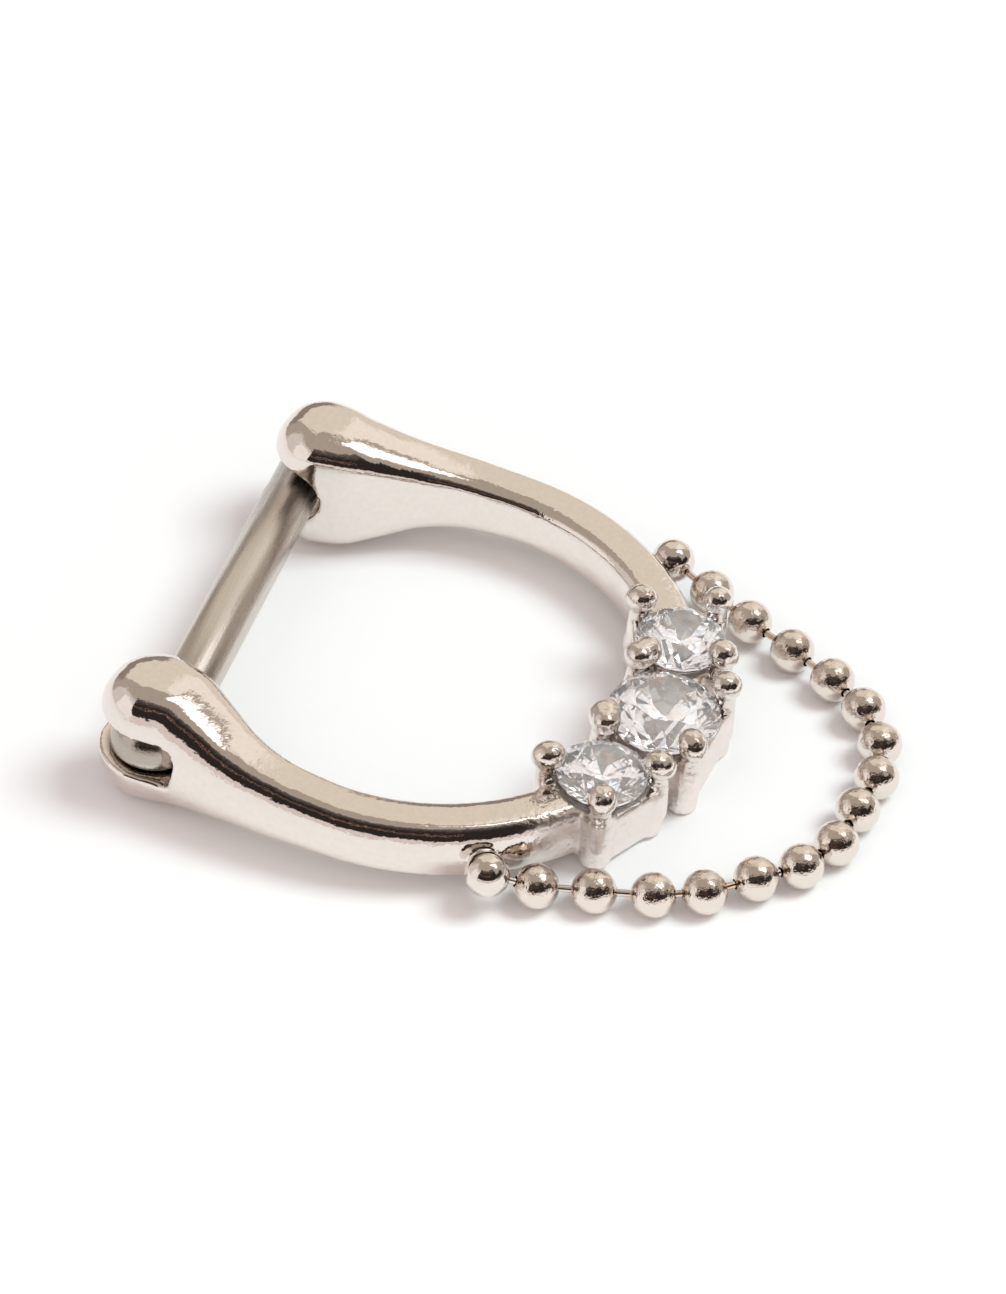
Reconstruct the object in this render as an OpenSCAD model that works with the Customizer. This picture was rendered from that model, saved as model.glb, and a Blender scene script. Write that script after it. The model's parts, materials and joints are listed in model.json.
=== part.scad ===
// Septum ring lying on its side: a D shaped band between two round lobes, a post that
// swings out on a hidden pin, three clear stones in four-prong settings round the front,
// and a short ball chain from one side of the band to the other.
// Millimetres. +X runs from the post to the stones, +Y along the post away from the
// hinge, +Z up. The ring tips forward by a few degrees, so that it rests on its two
// lobes and on the front of the middle setting. The origin is at the middle of the base.

/* [Ring] */

// Distance between the centres of the two lobes
lobe_span = 9.24; // [8.4:0.02:11]
// Width of a lobe, seen from above
lobe_d = 2.44; // [2.2:0.02:2.8]
// Height of a lobe
lobe_h = 3.3; // [2.8:0.05:3.8]
// Distance from the line of the lobes to the middle stone
ring_depth = 9.98; // [9:0.02:12]
// Radius of the middle line of the band, round the front
band_r = 5.5; // [5.2:0.05:6.2]
// Width of the thin band, seen from above
band_w = 1.28; // [1:0.02:1.6]
// Height of the thin band
band_h = 1.42; // [1:0.02:1.7]
// Height of the band's underside above the lobes' undersides
band_lift = 1.03; // [0.9:0.01:1.2]

/* [Post] */

// Diameter of the post
post_d = 1.2; // [0.8:0.1:1.6]
// How far the tip goes past the middle of the far lobe
tip_past = 0.45; // [0.2:0.05:0.7]
// Angle between the closed post and the line of the lobes, tip outwards, in degrees
post_lean = 4.4; // [0:0.1:6]
// How far inwards of the pin the axis of the post lies
post_inset = 0.25; // [0:0.05:0.35]
// Air round the closed post in its groove
groove_gap = 0.08; // [0.05:0.01:0.15]
// How much thinner, all round, the post has become at its ends inside the two lobes
post_relief = 0.03; // [0.02:0.01:0.06]

/* [Hinge] */

// Diameter of the round eye on the post
eye_d = 1.9; // [1.5:0.05:2.1]
// Thickness of the eye
eye_h = 0.85; // [0.6:0.05:1]
// Air below the eye in its slot
eye_gap = 0.05; // [0.03:0.01:0.1]
// Air above the eye in its slot
eye_gap_above = 0.17; // [0.05:0.01:0.25]
// How far inwards the slot reaches on the side away from the post
slot_reach = 0.95; // [0.3:0.05:1]
// Diameter of the hinge pin
pin_d = 0.6; // [0.5:0.02:0.7]
// Running clearance between the pin and the eye
pin_gap = 0.04; // [0.03:0.01:0.08]
// Metal left over the hidden end of the pin
pin_cover = 0.5; // [0.3:0.05:0.8]

/* [Stones] */

// Diameter of the middle stone
middle_stone_d = 2.5; // [2:0.05:2.8]
// Diameter of each side stone
side_stone_d = 2; // [1.6:0.05:2.4]
// Gap between neighbouring stones
stone_gap = 0.13; // [0.1:0.01:0.3]
// Height of the stones' edges above the middle of the band
stone_rise = 0.84; // [0.8:0.01:1.2]
// Clearance between a stone and its seat
seat_gap = 0.03; // [0.02:0.01:0.06]

/* [Settings] */

// Diameter of a prong
prong_d = 0.54; // [0.4:0.02:0.64]
// Diameter of the ball on a prong
prong_ball_d = 0.58; // [0.46:0.02:0.7]
// Distance from a stone's edge to the axis of its prongs
prong_out = 0.2; // [0.16:0.01:0.3]
// Height of the prong balls' centres above the stones' edges
prong_lift = 0.4; // [0.34:0.01:0.5]
// How far the walls' outer faces lie outside the prongs' axes
wall_out = 0.17; // [0.1:0.01:0.2]
// Depth of the walls' top edges below the stones' edges
wall_drop = 0.25; // [0.2:0.01:0.4]

/* [Chain] */

// Diameter of a bead
bead_d = 1; // [0.8:0.02:1.02]
// Wall of a bead
bead_wall = 0.14; // [0.1:0.01:0.16]
// Thickness of the link bars between the beads
bar_d = 0.16; // [0.12:0.01:0.18]
// Air round a bar in the bead's hole
bar_gap = 0.04; // [0.03:0.01:0.06]
// Diameter of the round ends of a bar, inside the beads
bar_end_d = 0.28; // [0.27:0.01:0.3]
// Angle round the band, from the middle stone, at which the end beads are soldered
end_bead_angle = 56; // [50:0.5:62]
// Depth of the solder between an end bead and the band
solder = 0.06; // [0.03:0.01:0.08]

/* [Hidden] */

$fn = 48;
over = 1;

// Route of the chain: where the loose beads lie, from the near end to the far end.
// Columns: angle round the band's centre, then in bead diameters the distance further out
// than the end beads and the height above lying on the floor.
chain_route = [
    [-47.1, 0.21, 0.05], [-38.4, 0.81, 0], [-31.1, 1.6, 0], [-25, 2.23, 0],
    [-18.3, 2.74, 0], [-12.9, 3.28, 0], [-7.1, 3.56, 0], [-0.6, 3.54, 0],
    [5.7, 3.63, 0], [11.7, 3.49, 0], [17.9, 3.04, 0], [23.7, 2.37, 0],
    [30.6, 1.6, 0], [38.4, 0.89, 0.06], [46.8, 0.39, 0.22]];

// Sections of an arm from its lobe to the widest place of the band.
// Columns: share of the way forward, share of the way out from the lobe to the band,
// share of the lobe's extra width, share of the lobe's extra height.
arm_rows = [
    [0.00, 0.00, 0.90, 0.93],
    [0.13, 0.09, 0.84, 0.84],
    [0.27, 0.31, 0.60, 0.60],
    [0.49, 0.68, 0.28, 0.28],
    [0.73, 0.93, 0.07, 0.09],
    [1.00, 1.00, 0.00, 0.01]];
arm_steps = 4;
arc_step = 6;
section_points = 20;
// Squareness of the thin band's section, and of an arm's at its lobe: 2 is an ellipse.
squareness = 3.5;
lobe_squareness = 2.2;

lobe_r = lobe_d / 2;
lobe_y = lobe_span / 2;
mid_z = lobe_h / 2;
foot_z = band_lift;
band_z = band_lift + band_h / 2;
stone_z = band_z + stone_rise;
band_x = ring_depth - band_r;

// The ring tips until the foot of the middle setting is as low as the lobes.
toe_x = ring_depth + (middle_stone_d / 2 + prong_out) * cos(45) + prong_d / 2;
tip_angle = asin(lobe_r / norm([toe_x, lobe_r - foot_z])) - atan2(lobe_r - foot_z, toe_x);

// Places of the stones round the band.
side_turn = 2 * asin(((middle_stone_d + side_stone_d) / 2 + stone_gap) / (2 * band_r));
function on_band(angle, r) = [band_x + r * cos(angle), r * sin(angle)];
// The end beads touch the outside of the band.
end_r = band_r + band_w / 2 + bead_d / 2 - solder;

// The part's place: the origin is under the middle of its outline.
front_x = max([for (p = chain_route) on_band(p[0], end_r + p[1] * bead_d)[0]]) + bead_d / 2;
shift_x = (front_x - lobe_r) / 2;
// From the ring's own frame to where it lies, and back.
function laid(p) = [
    p[0] * cos(tip_angle) + (p[2] - lobe_r) * sin(tip_angle) - shift_x, p[1],
    (p[2] - lobe_r) * cos(tip_angle) - p[0] * sin(tip_angle) + lobe_r];
function stood(p) = [
    (p[0] + shift_x) * cos(tip_angle) - (p[2] - lobe_r) * sin(tip_angle), p[1],
    (p[2] - lobe_r) * cos(tip_angle) + (p[0] + shift_x) * sin(tip_angle) + lobe_r];
module lay() {
    translate([-shift_x, 0, lobe_r]) rotate([0, tip_angle, 0]) translate([0, 0, -lobe_r])
        children();
}

// Hinge
eye_slot_h = eye_h + eye_gap + eye_gap_above;
eye_slot_z = mid_z - eye_h / 2 - eye_gap;
post_r = post_d / 2;
pin_r = pin_d / 2;

// Stones: proportions of a round brilliant, as shares of the radius.
table_share = 0.57;
crown_share = 0.32;
pavilion_share = 0.86;
girdle_share = 0.06;

// The chain's bead centres, the soldered end beads included.
function end_bead(side) =
    let (p = on_band(side * end_bead_angle, end_r)) [p[0], p[1], band_z];
beads = concat([laid(end_bead(-1))],
    [for (p = chain_route) let (q = on_band(p[0], end_r + p[1] * bead_d))
        [q[0] - shift_x, q[1], (p[2] + 0.5) * bead_d]],
    [laid(end_bead(1))]);
hollow_r = bead_d / 2 - bead_wall;
hole_r = bar_d / 2 + bar_gap;
// The round ends of the bars lie against the inside of the beads.
end_in = hollow_r - bar_end_d / 2 - bar_gap;

function mix(a, b, t) = a + (b - a) * t;
// Smooth curve through the rows of a table, at place t counted in rows.
function through(rows, t) =
    let (n = len(rows) - 1, i = min(floor(t), n - 1), f = t - i,
        a = rows[max(i - 1, 0)], b = rows[i], c = rows[i + 1], d = rows[min(i + 2, n)])
    b + f / 2 * ((c - a) + f * ((2 * a - 5 * b + 4 * c - d) + f * (3 * (b - c) + d - a)));

// Stations of the far arm: x, y, width, height, squareness of the section, middle's height.
arm_stations = concat(
    [for (k = [0 : arm_steps * (len(arm_rows) - 1)])
        let (r = through(arm_rows, k / arm_steps))
        [r[0] * band_x, mix(lobe_y, band_r, r[1]), mix(band_w, lobe_d, r[2]),
            mix(band_h, lobe_h, r[3]), mix(squareness, lobe_squareness, r[3]),
            mix(band_z, mid_z, r[3])]],
    [for (k = [1 : ceil((90 - side_turn) / arc_step)])
        let (p = on_band(max(90 - k * arc_step, side_turn), band_r))
        [p[0], p[1], band_w, band_h, squareness, band_z]]);
function power(v, e) = sign(v) * pow(abs(v), e);
function section(i) =
    let (s = arm_stations[i], a = arm_stations[max(i - 1, 0)],
        b = arm_stations[min(i + 1, len(arm_stations) - 1)],
        t = [b[0] - a[0], b[1] - a[1]] / norm([b[0] - a[0], b[1] - a[1]]))
    [for (k = [0 : section_points - 1])
        let (w = 360 * (k + 0.5) / section_points,
            u = s[2] / 2 * power(cos(w), 2 / s[4]), v = s[3] / 2 * power(sin(w), 2 / s[4]))
        [s[0] - t[1] * u, s[1] + t[0] * u, s[5] + v]];

module arm() {
    n = len(arm_stations);
    m = section_points;
    polyhedron(
        points = [for (i = [0 : n - 1]) each section(i)],
        faces = concat(
            [[for (k = [0 : m - 1]) k]],
            [[for (k = [0 : m - 1]) n * m - 1 - k]],
            [for (i = [0 : n - 2]) for (k = [0 : m - 1]) let (j = (k + 1) % m)
                each [[i * m + k, i * m + m + k, i * m + j],
                    [i * m + j, i * m + m + k, i * m + m + j]]]));
}

module lobe() {
    translate([0, 0, lobe_r]) sphere(lobe_r);
    translate([0, 0, lobe_r]) cylinder(r = lobe_r, h = lobe_h - lobe_d);
    translate([0, 0, lobe_h - lobe_r]) sphere(lobe_r);
}

// Puts its children at each stone, turned with the band, with the stone's radius in $r.
module at_stones() {
    translate([ring_depth, 0, 0]) {
        $r = middle_stone_d / 2;
        children();
    }
    for (side = [-1, 1]) {
        p = on_band(side * side_turn, band_r);
        translate([p[0], p[1], 0]) rotate(side * side_turn) {
            $r = side_stone_d / 2;
            children();
        }
    }
}

// A setting's four prongs stand on the corners of a square round the stone.
function corner(r) = (r + prong_out) * cos(45);
module walls(r) {
    w = corner(r) + wall_out;
    translate([-w, -w, foot_z]) cube([2 * w, 2 * w, stone_z - wall_drop - foot_z]);
}
module prongs(r) {
    c = corner(r);
    for (sx = [-1, 1], sy = [-1, 1]) translate([sx * c, sy * c, foot_z])
        cylinder(d = prong_d, h = stone_z + prong_lift - foot_z);
}
module prong_balls(r) {
    c = corner(r);
    for (sx = [-1, 1], sy = [-1, 1]) translate([sx * c, sy * c, stone_z + prong_lift])
        sphere(d = prong_ball_d);
}
// Metal that joins the settings under the stones.
module joining_bars() {
    for (side = [-1, 1]) {
        p = on_band(side * side_turn, band_r);
        translate([p[0], p[1], foot_z]) rotate(side * (side_turn / 2 - 90))
            translate([0, -band_w / 2, 0]) cube([norm([ring_depth, 0] - p), band_w, band_h]);
    }
}

// The space a stone of radius r takes in its setting, open through the foot.
module stone_seat(r) {
    g = girdle_share * r / 2;
    translate([0, 0, stone_z - g - pavilion_share * r - seat_gap])
        cylinder(r1 = seat_gap / 2, r2 = r + seat_gap, h = pavilion_share * r);
    translate([0, 0, stone_z - g - seat_gap * 1.01])
        cylinder(r = r + seat_gap, h = 2 * g + seat_gap * 2.02);
    translate([0, 0, stone_z + g + seat_gap])
        cylinder(r1 = r + seat_gap, r2 = table_share * r + seat_gap, h = crown_share * r);
    translate([0, 0, stone_z + g + seat_gap + crown_share * r - 0.01])
        cylinder(r = table_share * r + seat_gap, h = over);
    translate([0, 0, foot_z - over]) cylinder(r = 0.45 * r, h = over + 0.4 * (stone_z - foot_z));
}

// A round brilliant of radius r: 57 facets round a thin girdle.
module brilliant(r) {
    g = girdle_share * r / 2;
    table_r = table_share * r;
    crown = crown_share * r;
    pavilion = pavilion_share * r;
    star_r = mix(table_r / cos(22.5), r, 0.45);
    star_z = crown * (r - star_r * cos(22.5)) / (r - table_r);
    low_r = 0.25 * r;
    low_z = pavilion * (1 - low_r * cos(22.5) / r);
    points = concat(
        [for (k = [0 : 7]) [table_r * cos(45 * k), table_r * sin(45 * k), g + crown]],
        [for (k = [0 : 7]) [star_r * cos(45 * k + 22.5), star_r * sin(45 * k + 22.5), g + star_z]],
        [for (k = [0 : 15]) [r * cos(22.5 * k), r * sin(22.5 * k), g]],
        [for (k = [0 : 15]) [r * cos(22.5 * k), r * sin(22.5 * k), -g]],
        [for (k = [0 : 7]) [low_r * cos(45 * k + 22.5), low_r * sin(45 * k + 22.5), -g - low_z]],
        [[0, 0, -g - pavilion]]);
    faces = concat(
        [[7, 6, 5, 4, 3, 2, 1, 0]],
        [for (k = [0 : 7]) let (n = (k + 1) % 8, b = (k + 7) % 8) each [
            [k, n, 8 + k],
            [k, 8 + k, 16 + 2 * k, 8 + b],
            [16 + 2 * k, 8 + k, 17 + 2 * k],
            [17 + 2 * k, 8 + k, 16 + 2 * n],
            [32 + 2 * k, 16 + 2 * k, 17 + 2 * k, 33 + 2 * k],
            [33 + 2 * k, 17 + 2 * k, 16 + 2 * n, 32 + 2 * n],
            [32 + 2 * k, 33 + 2 * k, 48 + k],
            [33 + 2 * k, 32 + 2 * n, 48 + k],
            [48 + k, 56, 48 + b, 32 + 2 * k]]]);
    polyhedron(points = points, faces = faces);
}

// Turns the Z axis along the way from a to b, with the origin at a.
module towards(a, b) {
    d = b - a;
    translate(a) rotate([0, acos(d[2] / norm(d)), atan2(d[1], d[0])]) children();
}

// The post's frame in the ring: origin on the pin's axis, Y along the closed post.
module post_place() {
    translate([0, -lobe_y, mid_z]) rotate([0, 0, post_lean]) children();
}
tip_y = lobe_span / cos(post_lean) + tip_past;
// The free stretch of the post starts just outside one lobe and ends just before the other.
neck_y = lobe_r + groove_gap;
free_y = lobe_span * cos(post_lean) - lobe_r - groove_gap;

// An end bead's frame in the ring: Z points at the first loose bead.
module end_bead_place(side) {
    towards(end_bead(side), stood(beads[side < 0 ? 1 : 15])) children();
}

module ring() {
    color([0.83, 0.81, 0.78]) lay() difference() {
        union() {
            translate([0, -lobe_y, 0]) lobe();
            translate([0, lobe_y, 0]) lobe();
            arm();
            mirror([0, 1, 0]) arm();
            at_stones() walls($r);
            joining_bars();
            at_stones() prongs($r);
            at_stones() prong_balls($r);
            for (side = [-1, 1]) end_bead_place(side) sphere(d = bead_d);
        }
        at_stones() stone_seat($r);
        // slot for the post's eye, open to the outside and towards the post
        translate([0, -lobe_y, eye_slot_z]) {
            cylinder(r = eye_d / 2 + groove_gap, h = eye_slot_h);
            translate([-lobe_d, -lobe_d, 0]) cube([lobe_d + slot_reach, lobe_d, eye_slot_h]);
            translate([-lobe_d, -0.01, 0])
                cube([lobe_d + post_inset + post_r + groove_gap, lobe_d, eye_slot_h]);
        }
        // hole for the pin, from below
        translate([0, -lobe_y, -over]) cylinder(r = pin_r + 0.01, h = over + lobe_h - pin_cover);
        // groove that the post's tip clicks into, open to the outside
        post_place() translate([post_inset, 0, 0]) {
            translate([0, lobe_span - lobe_r - over, 0]) rotate([-90, 0, 0])
                cylinder(r = post_r + groove_gap, h = tip_y + groove_gap - lobe_span + lobe_r + over);
            translate([-lobe_d - over, lobe_span - lobe_r - over, -post_r - groove_gap])
                cube([lobe_d + over, tip_y + groove_gap - lobe_span + lobe_r + over,
                    post_d + 2 * groove_gap]);
        }
        // hollows of the two end beads
        for (side = [-1, 1]) end_bead_place(side) {
            sphere(hollow_r);
            cylinder(r = hole_r, h = bead_d);
        }
    }
}

module hinge_pin() {
    color([0.7, 0.69, 0.67]) lay() intersection() {
        translate([0, -lobe_y, 0]) lobe();
        translate([0, -lobe_y, 0]) cylinder(r = pin_r, h = lobe_h - pin_cover - 0.01);
    }
}

module post() {
    edge = eye_h / 4;
    chamfer = post_r / 4;
    slim_r = post_r - post_relief;
    step_r = post_r - post_relief / 2;
    color([0.8, 0.79, 0.77]) lay() post_place() difference() {
        union() {
            translate([0, 0, -eye_h / 2]) cylinder(r = eye_d / 2 - edge, h = eye_h);
            translate([0, 0, edge - eye_h / 2]) cylinder(r = eye_d / 2, h = eye_h - 2 * edge);
            for (s = [-1, 1]) translate([0, 0, s * (eye_h / 2 - edge)])
                rotate_extrude() translate([eye_d / 2 - edge, 0]) circle(edge);
            // the neck, tapered and flattened to the eye's thickness inside the near lobe
            intersection() {
                translate([post_inset, 0, 0]) rotate([-90, 0, 0])
                    cylinder(r1 = slim_r, r2 = step_r, h = neck_y + over / 2);
                translate([post_inset - post_r, 0, -eye_h / 2]) cube([post_d, neck_y + over, eye_h]);
            }
            // the full round stretch between the lobes, and the tapered tip
            translate([post_inset, 0, 0]) rotate([-90, 0, 0]) {
                translate([0, 0, neck_y]) cylinder(r = post_r, h = free_y - neck_y);
                translate([0, 0, free_y - over / 2])
                    cylinder(r1 = step_r, r2 = slim_r, h = tip_y - chamfer - free_y + over / 2);
                translate([0, 0, tip_y - chamfer])
                    cylinder(r1 = slim_r, r2 = slim_r - chamfer, h = chamfer);
            }
        }
        translate([0, 0, -over]) cylinder(r = pin_r + pin_gap, h = 2 * over);
    }
}

module middle_stone() {
    color([0.9, 0.95, 1, 0.5]) lay() translate([ring_depth, 0, stone_z])
        brilliant(middle_stone_d / 2);
}

module side_stone(side) {
    p = on_band(side * side_turn, band_r);
    color([0.9, 0.95, 1, 0.5]) lay() translate([p[0], p[1], stone_z])
        rotate(side * side_turn) brilliant(side_stone_d / 2);
}
module near_stone() side_stone(-1);
module far_stone() side_stone(1);

// A ball at bead i, turned across the run of the chain.
module ball(i, r) {
    d = beads[i + 1] - beads[i];
    translate(beads[i]) rotate(atan2(d[1], d[0]) + 90) sphere(r);
}

// Loose bead i: a hollow ball with a hole towards each neighbour.
module bead(i) {
    color([0.82, 0.8, 0.77]) difference() {
        ball(i, bead_d / 2);
        ball(i, hollow_r);
        towards(beads[i], beads[i - 1]) cylinder(r = hole_r, h = bead_d);
        towards(beads[i], beads[i + 1]) cylinder(r = hole_r, h = bead_d);
    }
}

// Link bar from bead i to the next, with a round end inside each.
module link(i) {
    a = beads[i];
    b = beads[i + 1];
    l = norm(b - a);
    color([0.75, 0.7, 0.65]) towards(a, b) {
        translate([0, 0, end_in]) sphere(d = bar_end_d);
        translate([0, 0, l - end_in]) sphere(d = bar_end_d);
        translate([0, 0, end_in]) cylinder(d = bar_d, h = l - 2 * end_in);
    }
}

module bead_02() bead(1);
module bead_03() bead(2);
module bead_04() bead(3);
module bead_05() bead(4);
module bead_06() bead(5);
module bead_07() bead(6);
module bead_08() bead(7);
module bead_09() bead(8);
module bead_10() bead(9);
module bead_11() bead(10);
module bead_12() bead(11);
module bead_13() bead(12);
module bead_14() bead(13);
module bead_15() bead(14);
module bead_16() bead(15);
module link_01() link(0);
module link_02() link(1);
module link_03() link(2);
module link_04() link(3);
module link_05() link(4);
module link_06() link(5);
module link_07() link(6);
module link_08() link(7);
module link_09() link(8);
module link_10() link(9);
module link_11() link(10);
module link_12() link(11);
module link_13() link(12);
module link_14() link(13);
module link_15() link(14);
module link_16() link(15);

ring();
hinge_pin();
post();
middle_stone();
near_stone();
far_stone();
bead_02();
bead_03();
bead_04();
bead_05();
bead_06();
bead_07();
bead_08();
bead_09();
bead_10();
bead_11();
bead_12();
bead_13();
bead_14();
bead_15();
bead_16();
link_01();
link_02();
link_03();
link_04();
link_05();
link_06();
link_07();
link_08();
link_09();
link_10();
link_11();
link_12();
link_13();
link_14();
link_15();
link_16();
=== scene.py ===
# %% [markdown]
# # A septum ring, finished for its photograph
#
# The part is a hinged nose ring that lies on its side: a D shaped cast band between two
# round lobes, a steel post, three clear stones in four-prong baskets, and a short ball
# chain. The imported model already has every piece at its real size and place. This lesson
# adds what a camera sees: a cast and polished band, metals, stones, a table and the light.
#
# The frame comes first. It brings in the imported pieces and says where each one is.

import json
import math
import random

import bmesh
import bpy
from mathutils import Matrix, Vector


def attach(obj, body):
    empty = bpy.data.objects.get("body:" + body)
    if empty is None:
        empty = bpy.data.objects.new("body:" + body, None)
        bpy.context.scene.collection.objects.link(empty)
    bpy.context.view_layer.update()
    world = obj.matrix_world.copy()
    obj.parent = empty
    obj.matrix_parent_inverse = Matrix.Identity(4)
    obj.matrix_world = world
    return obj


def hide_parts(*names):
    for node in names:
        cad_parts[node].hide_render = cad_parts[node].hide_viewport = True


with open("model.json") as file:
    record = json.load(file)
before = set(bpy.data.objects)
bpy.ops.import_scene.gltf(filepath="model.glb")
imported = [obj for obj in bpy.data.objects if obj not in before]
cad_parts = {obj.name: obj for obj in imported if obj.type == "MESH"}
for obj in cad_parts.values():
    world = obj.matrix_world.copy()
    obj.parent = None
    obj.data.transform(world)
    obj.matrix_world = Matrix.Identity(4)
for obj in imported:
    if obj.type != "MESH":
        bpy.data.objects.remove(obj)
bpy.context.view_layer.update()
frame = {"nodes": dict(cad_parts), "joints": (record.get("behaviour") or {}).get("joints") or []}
nodes = frame["nodes"]

# %% [markdown]
# ## Sizes
#
# The band is modelled again further down, so its driving sizes are repeated here, in
# millimetres, with the names that the part's own source gives them. They could be measured
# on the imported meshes, but sizes with names are easier to read and to change. X runs
# forward from the line of the two lobes, Y along the post, Z up from the lobes' undersides.

# %% Sizes of the ring, in millimetres
MM = 0.001
lobe_span, lobe_d, lobe_h = 9.24, 2.44, 3.3
ring_depth, band_r, band_w, band_h, band_lift = 9.98, 5.5, 1.28, 1.42, 1.03
post_d, tip_past, post_lean, post_inset, groove_gap = 1.2, 0.45, 4.4, 0.25, 0.08
eye_d, eye_h, eye_gap, eye_gap_above, slot_reach = 1.9, 0.85, 0.05, 0.17, 0.95
pin_d, pin_cover = 0.6, 0.5
middle_stone_d, side_stone_d, stone_gap, stone_rise, seat_gap = 2.5, 2.0, 0.13, 0.84, 0.03
prong_d, prong_out, prong_lift = 0.54, 0.2, 0.4
wall_out, wall_drop = 0.17, 0.25
bead_d, end_bead_angle, solder = 1.0, 56, 0.06

lobe_r, lobe_y, mid_z = lobe_d / 2, lobe_span / 2, lobe_h / 2
band_x = ring_depth - band_r
band_z = band_lift + band_h / 2
stone_z = band_z + stone_rise
post_r = post_d / 2
side_turn = 2 * math.degrees(math.asin(((middle_stone_d + side_stone_d) / 2 + stone_gap) / (2 * band_r)))


def on_band(angle, radius):
    """A point on a circle round the band's centre; angle 0 is at the middle stone."""
    turn = math.radians(angle)
    return Vector((band_x + radius * math.cos(turn), radius * math.sin(turn), 0))


print("band", ring_depth, "mm deep, lobes", lobe_span, "mm apart, a side stone every",
      round(side_turn, 1), "degrees")

# %% [markdown]
# ## How the ring lies
#
# The real ring can't lie level: its lobes are fat and the band between them is thin, so
# it tips forward until the foot of the middle setting touches the table. The angle comes
# from those two contacts. Each form could be modelled as it lies, but upright forms have
# plain sizes. So everything on the ring is modelled upright in millimetres and laid down
# at the end with one matrix, which also turns millimetres into metres.

# %% The matrix that lays the ring down
toe_x = ring_depth + (middle_stone_d / 2 + prong_out) * math.cos(math.radians(45)) + prong_d / 2
toe_drop = lobe_r - band_lift
tip_angle = math.asin(lobe_r / math.hypot(toe_x, toe_drop)) - math.atan2(toe_drop, toe_x)
hinge = next(j for j in frame["joints"] if j["name"] == "post_hinge")
shift_x = (mid_z - lobe_r) * math.sin(tip_angle) - hinge["pos_m"][0] / MM
LAY = (Matrix.Scale(MM, 4)
       @ Matrix.Translation((-shift_x, 0, lobe_r))
       @ Matrix.Rotation(tip_angle, 4, "Y")
       @ Matrix.Translation((0, 0, -lobe_r)))
ring_up = Vector((math.sin(tip_angle), 0, math.cos(tip_angle)))
wall_top = (LAY @ Vector((0, 0, stone_z - wall_drop))).dot(ring_up) / MM
eye_middle = (LAY @ Vector((0, -lobe_y, mid_z))) / MM
print("tipped forward by", round(math.degrees(tip_angle), 2), "degrees, shifted by", round(shift_x, 3))

# %% [markdown]
# ## Camera
#
# A camera can be nudged until the picture looks right, but then each later change of the
# ring is judged against a guess. Here the photograph was matched by fitting a camera to
# the ring's outline: the direction it looks from, how far away it stands and how long its
# lens is. The image is 1006 by 1294 pixels, so the lens comes from a focal length in
# those pixels.

# %% Camera
image_w = 1006
focal_px = 6114.7
camera_azimuth, camera_elevation = math.radians(22.39), math.radians(42.11)
camera_distance = 136.57 * MM
aim = Vector((5.3244 - shift_x, 2.3443, 0)) * MM

back = Vector((math.sin(camera_azimuth) * math.cos(camera_elevation),
               -math.cos(camera_azimuth) * math.cos(camera_elevation),
               math.sin(camera_elevation)))
camera_data = bpy.data.cameras.new("camera")
camera_data.sensor_fit = "HORIZONTAL"
camera_data.sensor_width = 36
camera_data.lens = focal_px / image_w * camera_data.sensor_width
camera_data.clip_start = 0.005
camera_data.clip_end = 50
camera = bpy.data.objects.new("camera", camera_data)
camera.location = aim + back * camera_distance
camera.rotation_euler = back.to_track_quat("Z", "Y").to_euler()
scene = bpy.context.scene
scene.collection.objects.link(camera)
scene.camera = camera
print("lens", round(camera_data.lens, 1), "mm at", [round(v / MM, 1) for v in camera.location])

# %% [markdown]
# ## Writing shaders as sums
#
# A shader could be built link by link, but node trees are hard to read as lists of links.
# `Wire` wraps one output socket and overloads the operators, so `1 - spots * 0.3` adds its
# Math nodes by itself. Every other node comes from `make`, which sets a node's own settings
# first and then its inputs.

# %% Wires between shader nodes
class Wire:
    """One output socket of a shader node, usable in ordinary sums."""

    def __init__(self, tree, socket=None):
        self.tree = tree
        self.socket = socket

    def make(self, kind, settings=None, output=0, **inputs):
        """Adds a node of a kind. Inputs are given by name, or as in0, in1 by place."""
        node = self.tree.nodes.new(kind)
        for name, value in (settings or {}).items():
            if name == "stops":
                set_stops(node.color_ramp, value)
            else:
                setattr(node, name, value)
        for name, value in inputs.items():
            place = int(name[2:]) if name[:2] == "in" and name[2:].isdigit() else name.replace("_", " ")
            socket = node.inputs[place]
            if isinstance(value, Wire):
                self.tree.links.new(value.socket, socket)
            else:
                socket.default_value = value
        return Wire(self.tree, node.outputs[output])

    def output(self, name):
        """Another output of the same node."""
        return Wire(self.tree, self.socket.node.outputs[name])

    def math(self, operation, first, second=0.0):
        return self.make("ShaderNodeMath", {"operation": operation}, in0=first, in1=second)

    def __add__(self, other):
        return self.math("ADD", self, other)

    def __sub__(self, other):
        return self.math("SUBTRACT", self, other)

    def __rsub__(self, other):
        return self.math("SUBTRACT", other, self)

    def __mul__(self, other):
        return self.math("MULTIPLY", self, other)

    __radd__ = __add__
    __rmul__ = __mul__

    def smooth(self, low, high):
        """0 below low, 1 above high, and a soft step between them."""
        return self.make("ShaderNodeMapRange", {"interpolation_type": "SMOOTHSTEP"},
                         Value=self, From_Min=low, From_Max=high)

    def colours(self, first, second):
        """This value as the factor of a blend between two colours."""
        return self.make("ShaderNodeMix", {"data_type": "RGBA"}, output=2,
                         in0=self, in6=first, in7=second)


def set_stops(ramp, stops):
    """Gives a colour ramp its stops, as (place, colour) pairs."""
    while len(ramp.elements) < len(stops):
        ramp.elements.new(0.5)
    for element, (place, colour) in zip(ramp.elements, stops):
        element.position = place
        element.color = colour


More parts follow.
